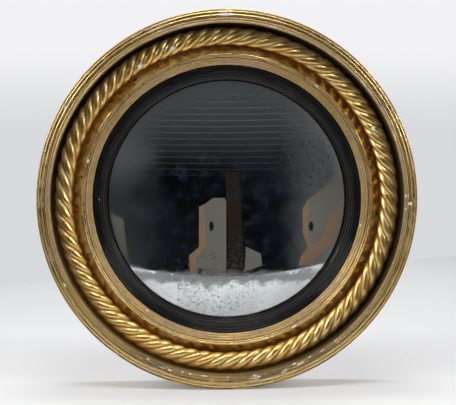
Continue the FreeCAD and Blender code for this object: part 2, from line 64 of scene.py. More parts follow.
DOME_RADIUS = 541.9
DOME_CENTRE = -473.44
GLASS_THICKNESS = 3.0
SILVER_GAP = 0.05
SILVER_THICKNESS = 0.3
SILVER_EDGE = 176.3

ROPE_RING = 235.6
ROPE_RADIUS = 13.3
ROPE_CENTRE = 47.8
ROPE_GROOVE = 3.4
ROPE_SEAT = 14.0
ROPE_LOBES = 4
ROPE_STRANDS = 76
ROPE_START = 3.0
# How far the strands of each length are out of step, in strands
ROPE_SLIPS = (0.0, 0.0, 0.14, 0.1, 0.04)

# Drops below the top of a layer; the slip's are at both ends of its bevel and behind its sight edge
BEAD_DROP = 2.4
REED_DROP = 1.6
WALL_DROP = 2.6
MOULDING_DROP = 2.0
SIGHT_DROPS = (6.5, 8.7, 9.9)

# Width of the slip's bevel, depth of its wall and its play in the rebate
SIGHT_BEVEL = 3.6
SLIP_WALL = 38.76
SLIP_PLAY = 0.3
# How far the sides of the hollow bow inwards
HOLLOW_COVE = 4.5
MOULDING_COVE = 1.2

# Nails and shanks are (radius, depth) from the head on, and a screw's head is its radius and rise
NAILS = 16
NAIL_RING = 207.0
NAIL = ((0.5, 13.02), (1.5, 13.12), (2.95, 13.6), (2.7, 13.98), (1.0, 14.0), (1.0, 33.0), (0.4, 34.9))
SCREW_SIDE = 214.49
SCREW_HEIGHTS = (83.0, 65.5)
SCREW_HEAD = (2.75, 1.6)
SCREW_SEAT = 5.8
SCREW_SHANK = ((1.5, SCREW_SEAT), (1.5, 17.0), (0.9, 17.99))
# Half the size of the box that cuts a screw's slot, and the depth of its middle
SLOT = (3.2, 0.7, 0.4)
SLOT_DEPTH = 4.2

# Opening in the gilding over each joint of the rim in millimetres, by its clock angle
RIM_JOINTS = {0: 0.45, 90: 0.35, 180: 0.12, 270: 0.4}
# Degrees left open at each end of a length of bed or rope
JOINT = 0.03

# Steps of the sweeps in degrees, and points over each lobe of the rope
TURN_STEP = 0.4
ROPE_STEP = 0.25
LOBE_STEPS = 16

# A fine split: half its width in degrees, and its depth
CRACK_HALF = 0.035
CRACK_DEEP = 0.6

# Painted light on the deep walls: the clock angle where their painted shade is lifted most, as if lit from
# above, and by how much
PAINTED_LIGHT_CLOCK = 205.0
PAINTED_LIGHT_SHARE = 0.55

# What a point of a section belongs to, where it isn't one of the numbered reeds
PAINTED = -1
BEAD = 9

# Reeds from the outside inwards: width, height over the way between its quirks, sink of the quirk
RIM_REEDS = ((4.73, 0.95, 0.0), (4.16, 0.85, 0.0), (1.0, 0.0, 0.9), (3.87, 0.6, 0.0),
             (3.44, 0.65, 0.0))
MOULDING_REEDS = ((2.6, 0.75, 0.0), (2.9, 0.8, 0.0), (0.7, 0.0, 0.7), (3.2, 0.75, 0.0),
                  (3.3, 0.7, 0.0), (3.3, 0.75, 0.0))
SLIP_REEDS = ((4.11, 1.15, 0.0), (3.85, 1.25, 0.0), (3.57, 1.2, 0.0), (3.0, 1.1, 0.0),
              (3.57, 1.2, 0.0))


# Meshes

def ring_points(radius, depth, clock):
    """Row-frame points in metres from radii, depths and clock angles."""
    angle = np.radians(clock)
    spot = np.broadcast_arrays(radius * np.sin(angle), -depth, radius * np.cos(angle))
    return np.stack(spot, axis=-1) / 1000


def waves(clock, seed, coarse=3, fine=23, count=9):
    """Smooth unevenness round the ring, mostly between -1 and 1."""
    rng = np.random.default_rng(seed)
    total = np.zeros_like(clock, dtype=float)
    for turns in rng.integers(coarse, fine, count):
        total += np.sin(np.radians(clock) * turns + rng.uniform(0, 2 * math.pi)) / math.sqrt(count)
    return total


class Section:
    """Closed outline of a turned piece: radius, depth, how far up a reed, grime and painted shade, and
    which reed.
    """

    def __init__(self, radius, depth):
        self.rows = [(radius, depth, 0.0, 0.0, 0)]

    def line(self, radius, depth, steps=1, grime_and_shade=(0.0, 0.0), reed=0):
        """Straight side to a point."""
        start = self.rows[-1]
        for step in range(1, steps + 1):
            share = step / steps
            self.rows.append((start[0] + (radius - start[0]) * share, start[1] + (depth - start[1]) * share,
                              0.0, grime_and_shade[0] + (grime_and_shade[1] - grime_and_shade[0]) * share, reed))
        return self

    def bow(self, radius, depth, rise, steps, grime_and_shade=(0.0, 0.0), reed=0):
        """Side bowed forwards by a rise: a reed, or a cove where the rise is negative."""
        start = self.rows[-1]
        along = np.array((radius - start[0], depth - start[1]))
        across = np.array((-along[1], along[0])) / np.hypot(*along)
        if across[1] < 0:
            across = -across
        for step in range(1, steps + 1):
            share = step / steps
            bulge = 4 * share * (1 - share)
            spot = np.array(start[:2]) + along * share + across * rise * bulge
            # Painted shade in the quirk at each edge of a reed, with some grime: darkest where the reed
            # meets its neighbour.
            quirk = (1 - bulge) ** 3 if reed else 0.0
            self.rows.append((*spot, bulge if reed else 0.0,
                              max(grime_and_shade[0] + (grime_and_shade[1] - grime_and_shade[0]) * share, quirk), reed))
        return self

    def reeds(self, run, radius, depth, first=1):
        """Run of unequal reeds to a point; a reed without height is a square quirk."""
        start = self.rows[-1]
        total = sum(width for width, _, _ in run)
        gone = 0.0
        for number, (width, height, sink) in enumerate(run):
            gone += width / total
            spot = (start[0] + (radius - start[0]) * gone, start[1] + (depth - start[1]) * gone)
            if height:
                self.bow(*spot, height, 10, reed=first + number)
            else:
                last = self.rows[-1]
                # A square quirk is painted dark all over: painted shade in the groove, with some grime.
                self.line(last[0] - 0.2 * width, last[1] - sink, grime_and_shade=(1.0, 1.0))
                self.line(spot[0] + 0.2 * width, spot[1] - sink, grime_and_shade=(1.0, 1.0))
                self.line(*spot, grime_and_shade=(1.0, 1.0))
        return self

    def table(self):
        """Radius, depth, crown, grime and painted shade, and reed of each point, as columns."""
        return np.array(self.rows[1:], dtype=float).T


def mesh_of(name, corners, faces):
    mesh = bpy.data.meshes.new(name)
    mesh.from_pydata(corners, [], faces)
    return mesh


def placed(name, data):
    """New object in the scene."""
    thing = bpy.data.objects.new(name, data)
    bpy.context.scene.collection.objects.link(thing)
    return thing


def skin(name, grid, channels, caps=True, sharp=38):
    """Mesh over rows of closed outlines, shape (rows, points, 3)."""
    rows, around = grid.shape[:2]
    index = np.arange(rows * around).reshape(rows, around)
    here, ahead = (index[:-1], index[1:]) if caps else (index, np.roll(index, -1, axis=0))
    faces = np.stack((here, np.roll(here, -1, axis=1), np.roll(ahead, -1, axis=1), ahead), axis=-1)
    faces = faces.reshape(-1, 4).tolist()
    if caps:
        faces += [index[0].tolist()[::-1], index[-1].tolist()]
    mesh = mesh_of(name, grid.reshape(-1, 3).tolist(), faces)
    for channel, values in channels.items():
        vector = values.ndim == 3
        layer = mesh.attributes.new(channel, "FLOAT_VECTOR" if vector else "FLOAT", "POINT")
        layer.data.foreach_set("vector" if vector else "value", values.astype(np.float32).ravel())
    return finished(name, mesh, sharp)


def finished(name, mesh, sharp=38):
    """Object of a mesh whose faces point outwards, smooth but for its sharp edges."""
    mesh.validate()
    mesh.update()
    volume = sum(face.center.dot(face.normal) * face.area for face in mesh.polygons)
    if volume < 0:
        mesh.flip_normals()
    mesh.polygons.foreach_set("use_smooth", [True] * len(mesh.polygons))
    mesh.set_sharp_from_angle(angle=math.radians(sharp))
    return placed(name, mesh)


def spots(radius, clock, marks):
    """Share of each spot at every point, 1 at its middle and 0 at its edge.

    A mark is (clock, radius, reach along the ring, reach across it, ...), and its rest is handed on.
    """
    for at, ring, along, across, *rest in marks:
        turn = (clock - at + 180) % 360 - 180
        away = np.hypot(np.radians(turn) * ring / along, (radius - ring) / across)
        yield np.clip(1 - away, 0, 1), rest


def damage(radius, depth, clock, marks, shallowest):
    """How much of each point is chipped, and how deep, from marks (..., deep, share)."""
    chip = np.zeros_like(radius)
    dent = np.zeros_like(radius)
    for reach, (deep, share) in spots(radius, clock, marks):
        reach = reach * (depth > shallowest)
        chip = np.maximum(chip, share * np.minimum(1, reach * 1.6))
        dent = np.maximum(dent, deep * np.minimum(1, reach * 2.5))
    return chip, dent


def scatter(count, clock, radius, size, seed):
    """Small chips at random between two clock angles and two radii."""
    rng = np.random.default_rng(seed)
    return [(rng.uniform(*clock), rng.uniform(*radius), rng.uniform(*size) * 2.0,
             rng.uniform(*size) * 0.55, 0.15, rng.uniform(0.4, 0.8)) for _ in range(count)]


def turned_piece(name, section, start, stop, marks, uneven, seed, shallowest, stains=(), cracks=()):
    """Sweep of a section between two clock angles, or right round where they are a turn apart.

    A crack (clock, lean) is a fine slanting split; lean is in degrees over each millimetre of radius.
    """
    whole = stop - start >= 360
    count = round((stop - start) / TURN_STEP) + (0 if whole else 1)
    clock = np.linspace(start, stop, count, endpoint=not whole)
    inside = [at for at, _ in cracks if start < at < stop]
    beside = [at + side * CRACK_HALF for at in inside for side in (-2, -1, 0, 1, 2)]
    clock = np.union1d(clock, beside)[:, None]
    count = len(clock)
    radius, depth, crown, grime_and_shade, reed = (column[None, :] for column in section.table())
    radius, depth, grime_and_shade = (np.repeat(item, count, axis=0) for item in (radius, depth, grime_and_shade))
    for number in np.unique(reed[reed > 0]):
        worn = 0.5 + 0.5 * waves(clock, seed * 100 + int(number))
        depth -= uneven * np.clip(worn, 0, 1.3) * crown * (reed == number)
        radius += 0.6 * uneven * waves(clock, seed * 200 + int(number), 5, 31) * (reed == number) * crown
    radius = np.minimum(radius, RIM_EDGE)
    chip, dent = damage(radius, depth, clock, marks, shallowest)
    # Painted light: the dark of the deep walls is lifted towards the foot of the ring, where light from
    # above falls on them.
    painted_light = PAINTED_LIGHT_SHARE * np.clip(np.cos(np.radians(clock - PAINTED_LIGHT_CLOCK)), 0, 1)
    grime_and_shade = np.where(grime_and_shade > 1, grime_and_shade * (1 - painted_light), grime_and_shade)
    for reach, _ in spots(radius, clock, stains):
        grime_and_shade = np.maximum(grime_and_shade, 1.2 * np.minimum(1, reach * 1.6))
    lean = np.zeros_like(radius)
    for at, slope in cracks:
        split = np.maximum(0, 1 - np.abs(clock - at) / (2 * CRACK_HALF)) * (depth > shallowest)
        dent = np.maximum(dent, CRACK_DEEP * split)
        grime_and_shade = np.maximum(grime_and_shade, 1.2 * split)
        lean += slope * (radius - radius.mean()) * np.exp(-((clock - at) / 2.5) ** 2)
    depth = depth - dent
    ring = np.broadcast_arrays(np.radians(clock) * radius.mean() / 1000, radius / 1000, depth / 1000)
    channels = {"grime_and_shade": grime_and_shade, "crown": np.repeat(crown, count, axis=0), "chip": chip,
                "paint": np.repeat(1.0 * (reed == PAINTED), count, axis=0), "ring": np.stack(ring, axis=-1)}
    return skin(name, ring_points(radius, depth, clock + lean), channels, caps=not whole)


def rope_piece(name, start, stop, marks, slip):
    """One length of the rope twist: lobes that wind round a ring, planed flat behind."""
    count = round((stop - start) / ROPE_STEP) + 1
    clock = np.linspace(start, stop, count)
    turns = ROPE_STRANDS * clock / 360 + 0.55 * waves(clock, 77, 1, 5, 3) + slip
    apart = 360 / ROPE_LOBES
    twist = -turns * apart
    valleys = np.stack([twist + apart * lobe + 4.0 * waves(clock, 500 + lobe, 15, 60)
                        for lobe in range(ROPE_LOBES)])
    valleys = np.concatenate((valleys, valleys[:1] + 360))
    share = np.arange(LOBE_STEPS) / LOBE_STEPS
    low = ROPE_RADIUS - ROPE_GROOVE
    reach = (ROPE_RADIUS ** 2 - low ** 2) / (2 * (ROPE_RADIUS - low * math.cos(math.radians(apart / 2))))
    strand = ROPE_RADIUS - reach
    off = np.radians((share - 0.5) * apart)
    lobe_shape = reach * np.cos(off) + np.sqrt(strand ** 2 - (reach * np.sin(off)) ** 2)
    angles, sizes, crowns = [], [], []
    for lobe in range(ROPE_LOBES):
        first, last = valleys[lobe], valleys[lobe + 1]
        angles.append(first[:, None] + (last - first)[:, None] * share[None, :])
        thin = 0.35 * np.clip(0.5 + 0.5 * waves(clock, 900 + lobe, 12, 55), 0, 1.2)
        crown = (lobe_shape - low) / ROPE_GROOVE
        sizes.append(lobe_shape[None, :] - thin[:, None] * crown[None, :])
        crowns.append(np.repeat(crown[None, :], count, axis=0))
    angle, size, crown = (np.concatenate(item, axis=1) for item in (angles, sizes, crowns))
    radius = ROPE_RING + size * np.cos(np.radians(angle))
    depth = np.maximum(ROPE_CENTRE + size * np.sin(np.radians(angle)), HOLLOW_FLOOR)
    clock = clock[:, None]
    chip, dent = damage(radius, depth, clock, marks, ROPE_CENTRE)
    depth = depth - dent
    ring = np.broadcast_arrays(np.radians(clock) * ROPE_RING / 1000, np.radians(angle) * size / 1000,
                               depth / 1000)
    # Painted shade, with some dirt: darker in the valleys between lobes, a painted shadow of the rim on the
    # outer flank, and darker low in the hollow.
    grime_and_shade = 0.8 * np.clip(1 - crown, 0, 1) ** 2
    grime_and_shade = np.maximum(grime_and_shade, 0.60 * np.clip((radius - ROPE_RING - 1) / 11, 0, 1))
    grime_and_shade = np.maximum(grime_and_shade, np.clip((ROPE_CENTRE - 4 - depth) / 8, 0, 0.6))
    channels = {"grime_and_shade": grime_and_shade, "crown": crown, "chip": chip, "paint": np.zeros_like(crown),
                "ring": np.stack(ring, axis=-1)}
    return skin(name, ring_points(radius, depth, clock), channels, sharp=50)


def dome(name, front, back, edge, rings=72, spokes=288):
    """Shell between two spheres round the dome's centre, cut off at an edge radius."""
    radii = edge * np.linspace(0, 1, rings + 1)[1:]
    clock = np.arange(spokes) * 360 / spokes
    points, faces = [], []
    for sphere in (front, back):
        first = len(points)
        points.append(ring_points(0.0, DOME_CENTRE + sphere, 0.0).tolist())
        depth = DOME_CENTRE + np.sqrt(sphere ** 2 - radii ** 2)
        points += ring_points(radii[:, None], depth[:, None], clock[None, :]).reshape(-1, 3).tolist()
        index = first + 1 + np.arange(rings * spokes).reshape(rings, spokes)
        beside = np.roll(index, -1, axis=1)
        cap = [[first, int(here), int(there)] for here, there in zip(index[0], beside[0])]
        shell = np.stack((index[:-1], index[1:], beside[1:], beside[:-1]), axis=-1).reshape(-1, 4).tolist()
        if sphere == back:
            cap = [face[::-1] for face in cap]
            shell = [face[::-1] for face in shell]
        faces += cap + shell
    outer = 1 + (rings - 1) * spokes
    inner = outer + 1 + rings * spokes
    for spoke in range(spokes):
        after = (spoke + 1) % spokes
        faces.append([outer + spoke, inner + spoke, inner + after, outer + after])
    return finished(name, mesh_of(name, points, faces))


# Finishes

class Finish:
    """Nodes of a new material with a name, or of a world; most methods give back an output."""

    def __init__(self, owner):
        self.owner = bpy.data.materials.new(owner) if isinstance(owner, str) else owner
        self.owner.use_nodes = True
        self.nodes = self.owner.node_tree.nodes
        self.links = self.owner.node_tree.links
        self.nodes.clear()
        self.spot = self.add("ShaderNodeTexCoord", output="Object")

    def add(self, kind, output=0, settings=(), inputs=()):
        node = self.nodes.new(kind)
        for key, setting in dict(settings).items():
            setattr(node, key, setting)
        for key, feed in dict(inputs).items():
            self.feed(node.inputs[key], feed)
        return node.outputs[output]

    def feed(self, socket, feed):
        if isinstance(feed, bpy.types.NodeSocket):
            self.links.new(feed, socket)
        else:
            socket.default_value = feed

    def attribute(self, name, output="Fac"):
        return self.add("ShaderNodeAttribute", output, {"attribute_name": name})

    def math(self, operation, first, second=0.0, clamp=False):
        return self.add("ShaderNodeMath", 0, {"operation": operation, "use_clamp": clamp},
                        {0: first, 1: second})

    def times(self, first, second):
        return self.math("MULTIPLY", first, second)

    def plus(self, first, second):
        return self.math("ADD", first, second)

    def centred(self, feed, share):
        """Share of a noise, moved from about a half to about nought."""
        return self.times(self.math("SUBTRACT", feed, 0.5), share)

    def axis(self, vector, number):
        """One component of a vector."""
        return self.add("ShaderNodeSeparateXYZ", number, {}, {0: vector})

    def distance(self, place):
        """Distance from a place in the row frame."""
        return self.add("ShaderNodeVectorMath", 1, {"operation": "DISTANCE"}, {0: self.spot, 1: place})

    def stretched(self, vector, scale):
        return self.add("ShaderNodeVectorMath", 0, {"operation": "MULTIPLY"}, {0: vector, 1: scale})

    def noise(self, scale, detail=4.0, vector=None, roughness=0.55, distortion=0.0):
        return self.add("ShaderNodeTexNoise", "Fac", {}, {
            "Vector": vector or self.spot, "Scale": scale, "Detail": detail, "Roughness": roughness,
            "Distortion": distortion})

    def cells(self, scale, feature="F1", vector=None):
        return self.add("ShaderNodeTexVoronoi", "Distance", {"feature": feature}, {
            "Vector": vector or self.spot, "Scale": scale})

    def step(self, feed, low, high, start=0.0, stop=1.0):
        """Soft step of a value from start to stop, between low and high."""
        return self.add("ShaderNodeMapRange", 0, {"interpolation_type": "SMOOTHSTEP"}, {
            "Value": feed, "From Min": low, "From Max": high, "To Min": start, "To Max": stop})

    def mix(self, share, first, second):
        """Colour between two colours, given as three numbers each or as outputs."""
        pair = [(*item, 1.0) if isinstance(item, tuple) else item for item in (first, second)]
        return self.add("ShaderNodeMix", 2, {"data_type": "RGBA"}, {0: share, 6: pair[0], 7: pair[1]})

    def blend(self, share, first, second):
        return self.add("ShaderNodeMix", 0, {"data_type": "FLOAT"}, {0: share, 2: first, 3: second})

    def either(self, *masks):
        """Largest of some masks."""
        total = masks[0]
        for mask in masks[1:]:
            total = self.math("MAXIMUM", total, mask)
        return total

    def bump(self, height, distance, strength=1.0, normal=None):
        inputs = {"Height": height, "Distance": distance, "Strength": strength}
        if normal:
            inputs["Normal"] = normal
        return self.add("ShaderNodeBump", 0, {}, inputs)

    def surface(self, **inputs):
        return self.close(self.add("ShaderNodeBsdfPrincipled", 0, {}, {
            key.replace("_", " "): feed for key, feed in inputs.items()}))

    def tone(self, colour):
        """A colour that takes no light."""
        return self.add("ShaderNodeEmission", 0, {}, {"Color": colour})

    def toned(self, share, paper, colour):
        """Paper with a share of the plain tone over it, as a finished material."""
        shaders = {0: share, 1: paper, 2: self.tone(colour)}
        return self.close(self.add("ShaderNodeMixShader", 0, {}, shaders))

    def close(self, shader, output="ShaderNodeOutputMaterial"):
        """Send a shader to the output; gives back what the nodes belong to."""
        self.links.new(shader, self.nodes.new(output).inputs["Surface"])
        return self.owner


def darker(colour, share):
    """A share of a colour."""
    return tuple(share * item for item in colour)


def gilding(name, seed, leaf, deep_leaf, wear, roughness, worn_side=(0.0, 0.1), relief=1.0,
            bole=(0.37, 0.245, 0.165), foot=0.0):
    """Old leaf over red-brown bole and white gesso, with amber toning and painted shade that turn dark in
    the hollows.

    The leaf is rubbed most where the radius passes from the first to the second number of worn_side.
    Rubbed leaf darkens by the share foot at the foot of the ring.
    """
    f = Finish(name)
    ring = f.attribute("ring", "Vector")
    grime_and_shade, crown, chip, paint = (f.attribute(item) for item in ("grime_and_shade", "crown", "chip", "paint"))
    along = f.stretched(ring, (18.0, 260.0, 260.0))
    cloud = f.noise(14.0 + seed)
    mottle = f.noise(95.0, 6.0, roughness=0.65)
    streak = f.noise(1.6, 5.0, vector=along, roughness=0.6)
    scratch = f.noise(3.1, 6.0, vector=f.stretched(ring, (26.0, 420.0, 420.0)), roughness=0.7)
    speck = f.noise(620.0, 3.0, roughness=0.7)

    # Toning and painted shade: amber where the grime and painted shade are light, dark brown and matt where
    # they are deep.
    toning_and_shade = f.plus(grime_and_shade, f.centred(mottle, 0.4))
    amber_and_shade = f.step(toning_and_shade, 0.10, 0.50, 0.0, 0.9)
    toned = f.step(toning_and_shade, 0.55, 1.05, 0.0, 0.95)
    dusty = f.step(f.plus(mottle, f.times(cloud, 0.4)), 0.66, 0.9, 0.0, 0.55)
    radius = f.axis(ring, 1)
    worn = f.plus(streak, f.step(radius, *worn_side, 0.0, 0.28))
    worn = f.plus(worn, f.step(radius, 0.2694, 0.2706, 0.0, 0.2))
    rubbed = f.times(f.step(worn, 0.56 - wear, 0.68 - wear * 0.5), f.step(crown, 0.2, 0.9, 0.3, 1.0))
    rubbed = f.times(rubbed, f.step(cloud, 0.36, 0.6, 0.35, 1.0))
    broken = f.plus(chip, f.centred(f.noise(300.0, 5.0), 0.9))
    bare = f.step(broken, 0.34, 0.44)
    pitted = f.step(speck, 0.68, 0.74)

    colour = f.mix(f.step(cloud, 0.35, 0.65), deep_leaf, leaf)
    colour = f.mix(f.times(dusty, 0.8 * relief), colour, (0.33, 0.23, 0.13))
    colour = f.mix(f.times(rubbed, 0.85), colour, bole)
    low = f.step(f.axis(f.spot, 2), -0.13, -0.235, 0.0, foot)
    colour = f.mix(f.times(low, rubbed), colour, (0.058, 0.038, 0.034))
    colour = f.mix(f.step(scratch, 0.50, 0.66, 0.0, 0.65 * relief), colour, (0.17, 0.095, 0.045))
    # Amber toning with painted shade, then dark brown painted shade and grime in the hollows, quirks and
    # valleys.
    colour = f.mix(amber_and_shade, colour, (0.44, 0.275, 0.092))
    colour = f.mix(toned, colour, (0.045, 0.025, 0.012))
    colour = f.mix(f.times(pitted, 0.7 * relief), colour, (0.09, 0.045, 0.02))
    colour = f.mix(bare, colour, (0.74, 0.71, 0.65))
    wash = f.mix(f.step(f.noise(40.0, 6.0), 0.35, 0.7), (0.42, 0.27, 0.09), (0.20, 0.12, 0.05))
    colour = f.mix(paint, colour, wash)

    matt = f.either(f.times(rubbed, 0.75), f.times(toned, 0.8), bare, paint, f.times(amber_and_shade, 0.55),
                    f.times(dusty, 0.6 * relief), f.times(pitted, 0.7 * relief))
    metal = f.math("SUBTRACT", 1.0, matt, clamp=True)
    rough = f.blend(matt, f.step(mottle, 0.3, 0.75, roughness - 0.05, roughness + 0.08), 0.62)
    cracks = f.step(f.cells(55.0, "DISTANCE_TO_EDGE", f.stretched(ring, (1.0, 0.35, 0.35))), 0.0, 0.03)
    skin_height = f.plus(f.times(mottle, 0.6), f.times(cracks, 0.25))
    skin_height = f.math("SUBTRACT", skin_height, f.times(bare, 0.8))
    normal = f.bump(f.noise(900.0, 3.0), 0.00003 * relief, 0.4, f.bump(skin_height, 0.00012 * relief, 0.5))
    return f.surface(Base_Color=colour, Metallic=metal, Roughness=rough, Normal=normal)


def ebonising(name):
    """Black lacquered reeds, rubbed brown towards the plate, with a few pale knocks."""
    f = Finish(name)
    ring = f.attribute("ring", "Vector")
    grime_and_shade, crown, chip = (f.attribute(item) for item in ("grime_and_shade", "crown", "chip"))
    inward = f.step(f.axis(ring, 1), 0.1895, 0.1770)
    cloud = f.noise(26.0, 5.0)
    streak = f.noise(2.2, 6.0, vector=f.stretched(ring, (16.0, 300.0, 300.0)), roughness=0.65)
    rubbed = f.times(f.step(f.plus(streak, f.times(inward, 0.4)), 0.5, 0.8),
                     f.step(crown, 0.45, 0.95, 0.1, 1.0))
    colour = f.mix(f.step(cloud, 0.3, 0.7), (0.0035, 0.0035, 0.0040), (0.0068, 0.0064, 0.0064))
    colour = f.mix(f.times(inward, 0.6), colour, (0.010, 0.0088, 0.0084))
    colour = f.mix(f.times(rubbed, 0.5), colour, (0.052, 0.045, 0.042))
    # Painted shade, with some grime, in the quirks between reeds and on the step under the lip.
    colour = f.mix(f.times(grime_and_shade, 0.6), colour, (0.004, 0.0035, 0.003))
    broken = f.plus(chip, f.centred(f.noise(400.0), 0.8))
    bare = f.step(broken, 0.36, 0.46)
    colour = f.mix(bare, colour, (0.55, 0.52, 0.47))
    rough = f.plus(f.step(cloud, 0.3, 0.7, 0.09, 0.15), f.times(rubbed, 0.16))
    grain = f.noise(3.0, 5.0, vector=f.stretched(ring, (40.0, 900.0, 900.0)))
    return f.surface(Base_Color=colour, Metallic=0.0, Roughness=rough, Specular_IOR_Level=0.3,
                     Normal=f.bump(grain, 0.00003, 0.4, f.bump(f.noise(500.0), 0.00002, 0.3)))


def plate_glass(name):
    """Clear old crown plate, faintly green, with slight waves in its face."""
    f = Finish(name)
    tint = f.mix(f.noise(3.0), (0.962, 0.975, 0.975), (0.978, 0.986, 0.986))
    return f.surface(Base_Color=tint, Metallic=0.0, Roughness=0.0, IOR=1.52, Transmission_Weight=1.0,
                     Normal=f.bump(f.noise(9.0, 1.0), 0.0012, 0.25))


def silvering(name):
    """Tin and mercury backing: bright where sound, clouded near its edge, spotted where damp got in."""
    f = Finish(name)
    flat = f.axis(f.spot, 0)
    height = f.axis(f.spot, 2)
    radius = f.math("SQRT", f.plus(f.math("POWER", flat, 2.0), f.math("POWER", height, 2.0)))
    cloud = f.noise(13.0, 6.0, roughness=0.6, distortion=0.4)
    drift = f.noise(5.0, 3.0)
    fog = f.step(f.plus(radius, f.centred(cloud, 0.09)), 0.118, 0.176)
    patch = f.times(f.step(cloud, 0.5, 0.72), f.step(drift, 0.45, 0.62))
    east = f.distance((0.125, -0.045, 0.055))
    foot = f.distance((-0.02, -0.045, -0.135))
    edge = f.step(radius, 0.162, 0.176, 0.0, 0.6)
    damp = f.either(f.step(east, 0.085, 0.02), f.step(foot, 0.12, 0.04, 0.0, 0.85), edge)
    flecks = f.noise(230.0, 9.0, roughness=0.82)
    foxing = f.step(f.plus(flecks, f.times(damp, 0.12)), 0.60, 0.76)
    freckle = f.step(f.cells(150.0), 0.10, 0.03)
    freckle = f.times(freckle, f.step(f.noise(24.0), 0.52, 0.6, 0.0, 0.8))
    drip = f.plus(height, f.centred(f.noise(55.0, 6.0, roughness=0.7), 0.045))
    veil = f.step(f.math("ABSOLUTE", f.plus(drip, 0.113)), 0.016, 0.002, 0.0, 0.75)
    clouded = f.either(f.times(fog, 0.38), f.times(patch, 0.30),
                       f.step(east, 0.075, 0.02, 0.0, 0.42), veil)
    colour = f.mix(clouded, (0.78, 0.81, 0.81), (0.120, 0.130, 0.130))
    colour = f.mix(f.times(foxing, 0.85), colour, (0.020, 0.022, 0.024))
    colour = f.mix(freckle, colour, (0.012, 0.011, 0.010))
    dull = f.either(f.times(clouded, 0.8), f.times(foxing, 0.9), freckle)
    grey = f.either(f.times(clouded, 0.13), f.times(foxing, 0.5), f.times(freckle, 0.6))
    metal = f.math("SUBTRACT", 1.0, grey, clamp=True)
    rough = f.step(dull, 0.0, 1.0, 0.015, 0.38)
    return f.surface(Base_Color=colour, Metallic=metal, Roughness=rough)


def wood(name, light, dark, grain_axis, scale=1.0, wash=None):
    """Old sawn pine: long grain along one axis, knots, saw marks and stains; a wash covers the sides."""
    def grained(along, across):
        """Scales of a pattern along the grain and across it."""
        return tuple(along if axis == grain_axis else across for axis in "xyz")

    f = Finish(name)
    grain = f.stretched(f.spot, grained(4.5 * scale, 95.0 * scale))
    rings = f.noise(1.0, 7.0, vector=grain, roughness=0.62, distortion=0.35)
    fibre = f.noise(5.0, vector=grain, roughness=0.7)
    knot = f.cells(6.5 * scale, vector=f.stretched(f.spot, grained(0.6, 1.0)))
    stain = f.noise(9.0, 5.0)
    colour = f.mix(f.step(rings, 0.42, 0.60), dark, light)
    colour = f.mix(f.step(fibre, 0.5, 0.8, 0.0, 0.5), colour, darker(dark, 0.55))
    colour = f.mix(f.step(knot, 0.14, 0.06, 0.0, 0.8), colour, darker(dark, 0.35))
    colour = f.mix(f.step(stain, 0.5, 0.75, 0.0, 0.55), colour, darker(dark, 0.45))
    if wash:
        facing = f.axis(f.add("ShaderNodeNewGeometry", "Normal"), 1)
        side = f.step(f.math("ABSOLUTE", facing), 0.75, 0.5)
        coat = f.mix(f.step(f.noise(34.0, 6.0), 0.35, 0.7), wash, darker(wash, 0.5))
        colour = f.mix(f.times(side, f.step(f.noise(120.0, 5.0), 0.22, 0.4)), colour, coat)
    saw = f.noise(1.0, 2.0, vector=f.stretched(f.spot, grained(300.0, 8.0)))
    height = f.plus(f.times(rings, 0.6), f.times(saw, 0.35))
    rough = f.step(stain, 0.3, 0.7, 0.64, 0.84)
    return f.surface(Base_Color=colour, Metallic=0.0, Roughness=rough,
                     Normal=f.bump(fibre, 0.0003, 0.5, f.bump(height, 0.0006, 0.6)))


def metal(name, bright, dull, roughness, tarnish):
    """Handled metal: bright where rubbed, dark where tarnished, with fine scratches."""
    f = Finish(name)
    cloud = f.noise(120.0, 6.0, roughness=0.65)
    fine = f.noise(700.0)
    stained = f.step(f.plus(cloud, f.times(fine, 0.15)), 0.72 - tarnish * 0.4, 0.88 - tarnish * 0.3)
    pit = f.step(f.noise(1500.0, 2.0), 0.66, 0.74)
    colour = f.mix(stained, bright, dull)
    colour = f.mix(f.times(pit, 0.6), colour, darker(dull, 0.5))
    shine = f.math("SUBTRACT", 1.0, f.times(f.either(stained, pit), 0.55))
    rough = f.plus(f.step(fine, 0.3, 0.7, roughness - 0.06, roughness + 0.08), f.times(stained, 0.2))
    return f.surface(Base_Color=colour, Metallic=shine, Roughness=rough,
                     Normal=f.bump(cloud, 0.0001, 0.5, f.bump(fine, 0.00003, 0.5)))


def card(name, paper, edge):
    """Grey-brown millboard with fibres."""
    f = Finish(name)
    fibres = f.noise(420.0, 6.0, roughness=0.7)
    stain = f.noise(22.0, 5.0)
    colour = f.mix(f.step(fibres, 0.35, 0.7), edge, paper)
    colour = f.mix(f.step(stain, 0.5, 0.72, 0.0, 0.6), colour, darker(edge, 0.5))
    return f.surface(Base_Color=colour, Metallic=0.0, Roughness=f.step(stain, 0.3, 0.7, 0.78, 0.92),
                     Normal=f.bump(fibres, 0.0002, 0.6))


# Pieces

